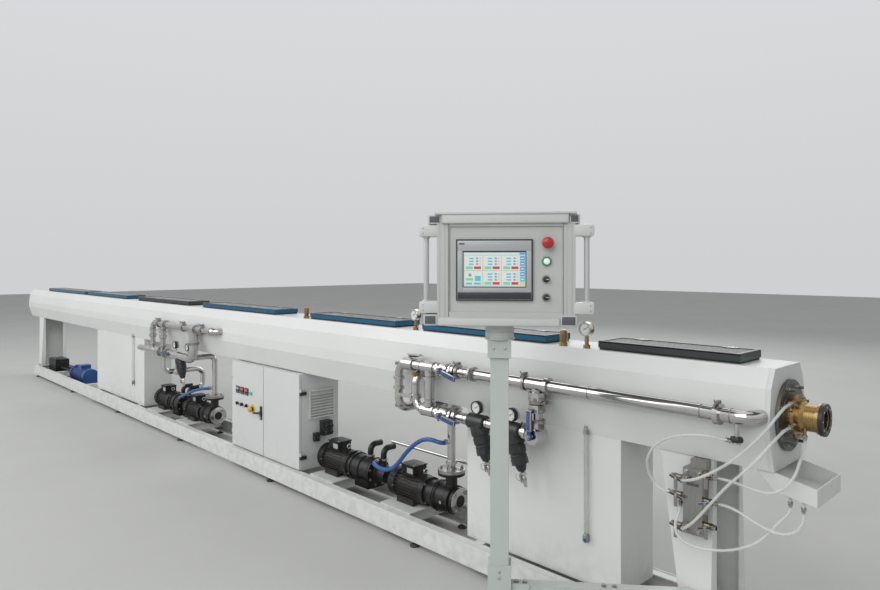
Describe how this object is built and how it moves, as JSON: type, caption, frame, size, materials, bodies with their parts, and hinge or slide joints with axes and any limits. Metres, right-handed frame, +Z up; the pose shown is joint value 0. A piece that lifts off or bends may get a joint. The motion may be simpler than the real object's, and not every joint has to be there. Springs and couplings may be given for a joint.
{
  "type": "vacuum sizing tank of a plastic pipe extrusion line",
  "caption": "Long steel vacuum sizing and cooling tank for plastic pipe on two rails, with hinged clear lids, pumps, water boxes, control cabinet and a swivelling operator panel.",
  "frame": {"origin": "on the floor, at the middle of the box round the whole machine", "axes": "+X along the pipe line towards the die end where the pipe comes in, +Z up, -Y towards the operator's side with the pipework and the panel"},
  "size_m": [9.338, 1.035, 1.581],
  "materials": {
    "tank_paint": "semi-gloss enamel",
    "inner_steel": "satin",
    "end_plate_paint": "satin",
    "dark_steel": "machined, oiled",
    "brass": "machined",
    "seal_rubber": "matt",
    "lid_glass": "clear acrylic plate",
    "pipe_steel": "polished tube",
    "frame_paint": "worn enamel",
    "cabinet_paint": "powder coat",
    "foot_rubber": "matt",
    "black_plastic": "matt",
    "motor_paint": "satin",
    "blue_paint": "gloss",
    "pump_iron": "painted",
    "filter_plastic": "gloss",
    "gauge_steel": "polished",
    "tube_clear": "clear tube",
    "hose_clear": "clear soft hose",
    "hose_blue": "satin",
    "valve_steel": "satin",
    "lever_blue": "dipped sleeve",
    "stand_paint": "powder coat",
    "panel_paint": "powder coat",
    "grip_steel": "anodised",
    "screen_glass": "gloss",
    "button_red": "gloss"
  },
  "bodies": {
    "tank": {"tank_front_wall": "tank_paint", "tank_rear_wall": "tank_paint", "tank_floor": "inner_steel", "deck_bridges": "tank_paint", "inlet_end_plate": "end_plate_paint", "outlet_end_plate": "end_plate_paint", "inlet_flange": "dark_steel", "sizing_sleeve": "brass", "drip_tray": "end_plate_paint", "pipe_rollers": "inner_steel", "spray_pipes": "inner_steel", "lid_seals": "seal_rubber", "lid_hinges": "pipe_steel", "deck_fittings": "brass", "legs": "frame_paint", "water_boxes": "frame_paint", "base_rails": "frame_paint", "cross_members": "frame_paint", "levelling_feet": "foot_rubber", "pump_plates": "frame_paint", "travel_gearbox": "motor_paint", "travel_motor": "blue_paint", "cabinet": "cabinet_paint", "cabinet_hinges": "black_plastic", "cabinet_vent": "end_plate_paint", "cabinet_sockets": "black_plastic", "pump_motors": "motor_paint", "vacuum_pumps": "pump_iron", "water_pumps": "pump_iron", "upper_pipe": "pipe_steel", "lower_pipe": "pipe_steel", "pump_riser": "pipe_steel", "filters": "filter_plastic", "gauges": "gauge_steel", "outlet_pipes": "pipe_steel", "level_tubes": "tube_clear", "valve_block": "valve_steel", "clear_hoses": "hose_clear", "pump_hoses": "hose_blue", "stand_post": "stand_paint", "stand_arm": "stand_paint"},
    "lid_1": {"lid_1": "lid_glass"},
    "lid_2": {"lid_2": "lid_glass"},
    "lid_3": {"lid_3": "lid_glass"},
    "lid_4": {"lid_4": "lid_glass"},
    "lid_5": {"lid_5": "lid_glass"},
    "lid_6": {"lid_6": "lid_glass"},
    "lid_7": {"lid_7": "lid_glass"},
    "door_left": {"door_left": "cabinet_paint", "door_controls": "black_plastic", "door_handle": "black_plastic"},
    "door_right": {"door_right": "cabinet_paint"},
    "panel": {"panel_housing": "panel_paint", "panel_grips": "grip_steel", "panel_screen": "screen_glass", "panel_buttons": "button_red"},
    "lever_upper": {"lever_upper": "lever_blue"},
    "lever_lower": {"lever_lower": "lever_blue"},
    "lever_drop": {"lever_drop": "lever_blue"}
  },
  "joints": [
    {"name": "lid_1_hinge", "type": "hinge", "parent": "tank", "child": "lid_1", "pos_m": [4.143, 0.42551, 1.085], "axis": [-1, 0, 0], "range_deg": [0, 100]},
    {"name": "lid_2_hinge", "type": "hinge", "parent": "tank", "child": "lid_2", "pos_m": [3.213, 0.42551, 1.085], "axis": [-1, 0, 0], "range_deg": [0, 100]},
    {"name": "lid_3_hinge", "type": "hinge", "parent": "tank", "child": "lid_3", "pos_m": [2.203, 0.42551, 1.085], "axis": [-1, 0, 0], "range_deg": [0, 100]},
    {"name": "lid_4_hinge", "type": "hinge", "parent": "tank", "child": "lid_4", "pos_m": [0.833, 0.42551, 1.085], "axis": [-1, 0, 0], "range_deg": [0, 100]},
    {"name": "lid_5_hinge", "type": "hinge", "parent": "tank", "child": "lid_5", "pos_m": [-0.507, 0.42551, 1.085], "axis": [-1, 0, 0], "range_deg": [0, 100]},
    {"name": "lid_6_hinge", "type": "hinge", "parent": "tank", "child": "lid_6", "pos_m": [-1.922, 0.42551, 1.085], "axis": [-1, 0, 0], "range_deg": [0, 100]},
    {"name": "lid_7_hinge", "type": "hinge", "parent": "tank", "child": "lid_7", "pos_m": [-3.297, 0.42551, 1.085], "axis": [-1, 0, 0], "range_deg": [0, 100]},
    {"name": "door_left_hinge", "type": "hinge", "parent": "tank", "child": "door_left", "pos_m": [0.909, 0.17051, 0.22], "axis": [0, 0, -1], "range_deg": [0, 110]},
    {"name": "door_right_hinge", "type": "hinge", "parent": "tank", "child": "door_right", "pos_m": [1.785, 0.17051, 0.22], "axis": [0, 0, 1], "range_deg": [0, 110]},
    {"name": "panel_swivel", "type": "hinge", "parent": "tank", "child": "panel", "pos_m": [3.773, -0.26349, 1.176], "axis": [0, 0, 1], "range_deg": [-90, 60]},
    {"name": "lever_upper_turn", "type": "hinge", "parent": "tank", "child": "lever_upper", "pos_m": [3.117, 0.06251, 0.912], "axis": [0, -1, 0], "range_deg": [0, 90]},
    {"name": "lever_lower_turn", "type": "hinge", "parent": "tank", "child": "lever_lower", "pos_m": [3.117, 0.06251, 0.704], "axis": [0, 1, 0], "range_deg": [0, 90]},
    {"name": "lever_drop_turn", "type": "hinge", "parent": "tank", "child": "lever_drop", "pos_m": [3.648, 0.06251, 0.704], "axis": [0, -1, 0], "range_deg": [0, 90]}
  ]
}
